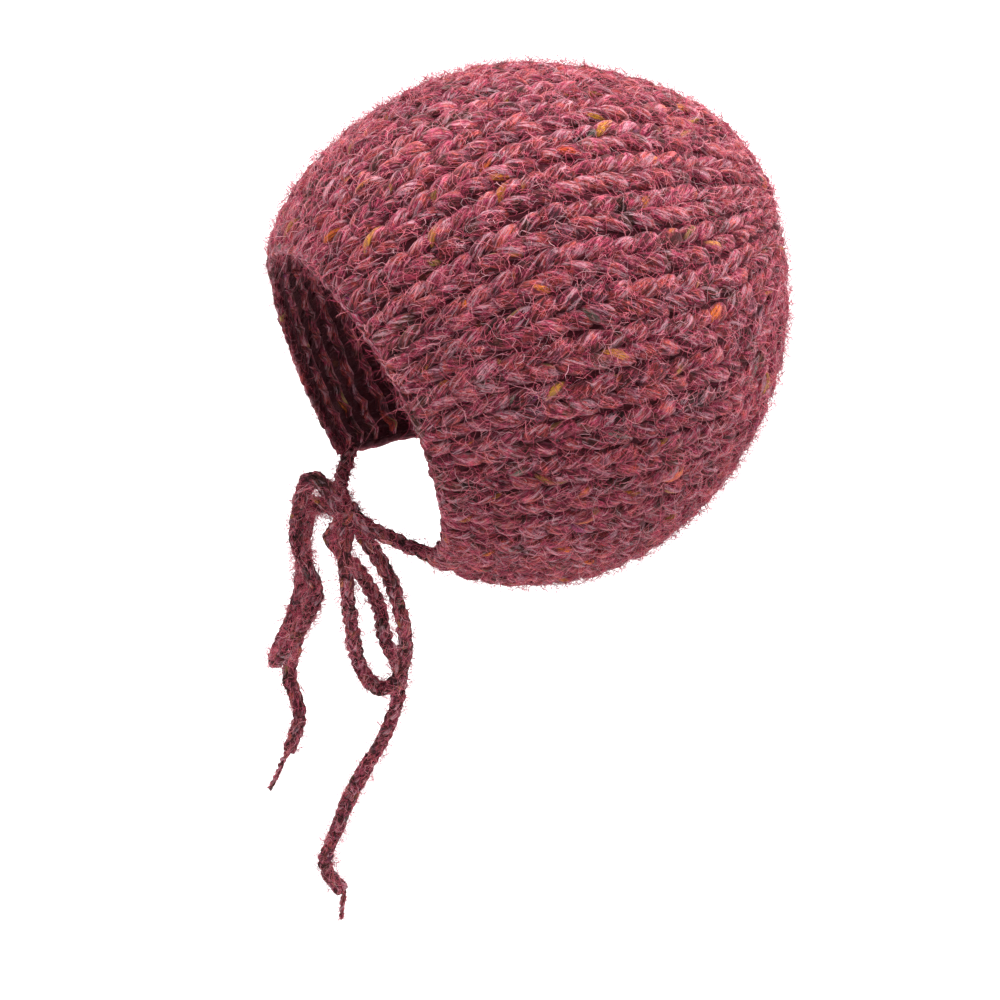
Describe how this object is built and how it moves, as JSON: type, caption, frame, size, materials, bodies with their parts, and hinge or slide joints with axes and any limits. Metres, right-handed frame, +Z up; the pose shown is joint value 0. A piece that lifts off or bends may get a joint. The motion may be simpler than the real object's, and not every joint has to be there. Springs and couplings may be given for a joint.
{
  "type": "knitted newborn bonnet with chin ties",
  "caption": "Chunky hand-knitted newborn bonnet with an open face, a gathered back crown and knitted cords tied in a bow under the chin.",
  "frame": {"origin": "inside of the bonnet at the top of the crown, where it sits on a head", "axes": "+Z up, -Y out of the face opening, +X to the wearer's left"},
  "size_m": [0.121, 0.1264, 0.2422],
  "materials": {
    "heather_knit": "matt brushed wool, rose and burgundy heather with tweed flecks",
    "heather_cord": "matt brushed wool knitted cord, rose and brown heather",
    "yarn_tail": "matt loose wool yarn"
  },
  "bodies": {
    "root": {"bonnet_body": "heather_knit", "tie_left": "heather_cord", "tie_right": "heather_cord", "bow_knot": "heather_cord", "bow_loop_left": "heather_cord", "bow_loop_right": "heather_cord", "tail_short": "heather_cord", "tail_long": "heather_cord", "yarn_end_short": "yarn_tail", "yarn_end_long": "yarn_tail"}
  },
  "joints": []
}
